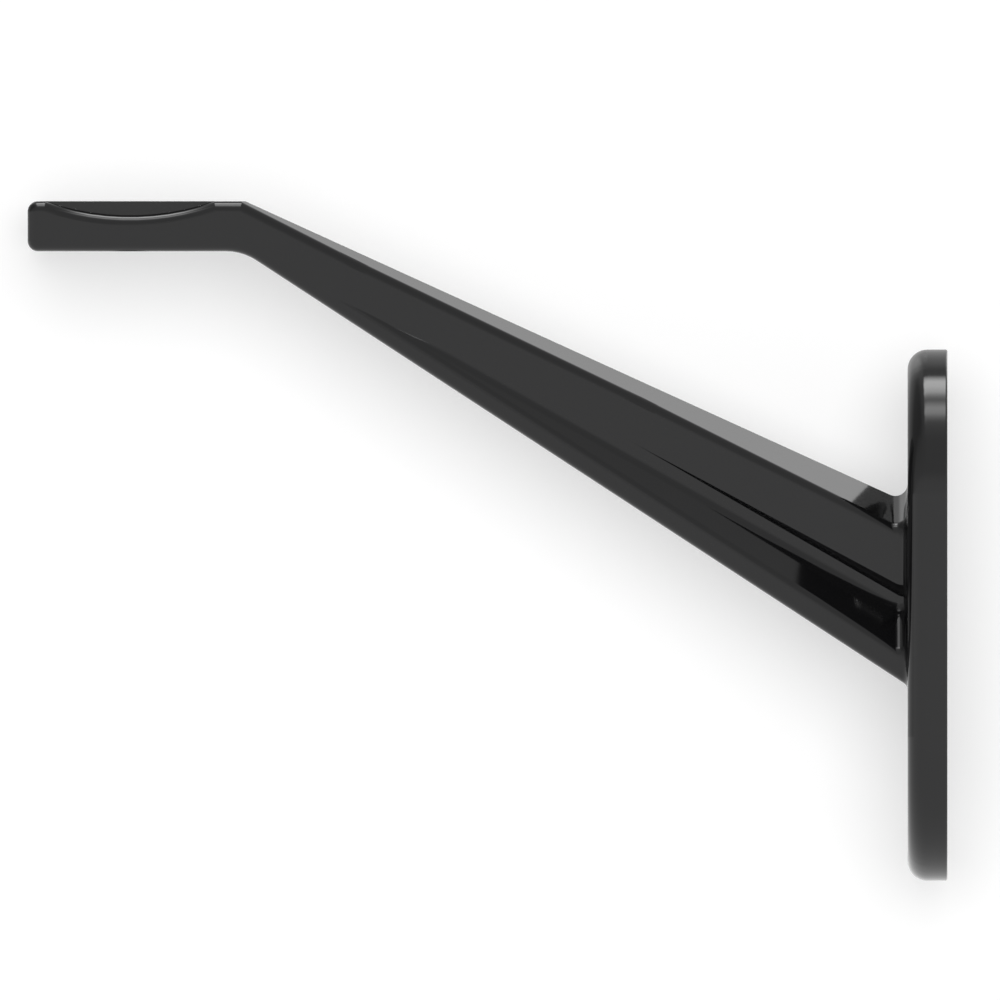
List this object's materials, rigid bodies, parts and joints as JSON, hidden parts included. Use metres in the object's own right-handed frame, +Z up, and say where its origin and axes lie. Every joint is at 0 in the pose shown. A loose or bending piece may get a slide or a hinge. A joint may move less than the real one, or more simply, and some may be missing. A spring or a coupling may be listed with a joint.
{
  "type": "handrail bracket",
  "caption": "Cast wall bracket for a handrail: pill-shaped wall plate, tapering ridged arm, and a saddle for round rails with a loose flat-top insert.",
  "frame": {"origin": "middle of the wall plate's back face, on the wall", "axes": "+X into the wall, so the arm reaches out along -X; +Z up; Y across the bracket"},
  "size_m": [0.09, 0.0282, 0.0665],
  "materials": {
    "gloss_black_casting": "smooth gloss black coating over a die casting",
    "black_insert": "smooth moulded black"
  },
  "bodies": {
    "root": {"bracket_body": "gloss_black_casting", "saddle_insert": "black_insert"}
  },
  "joints": []
}
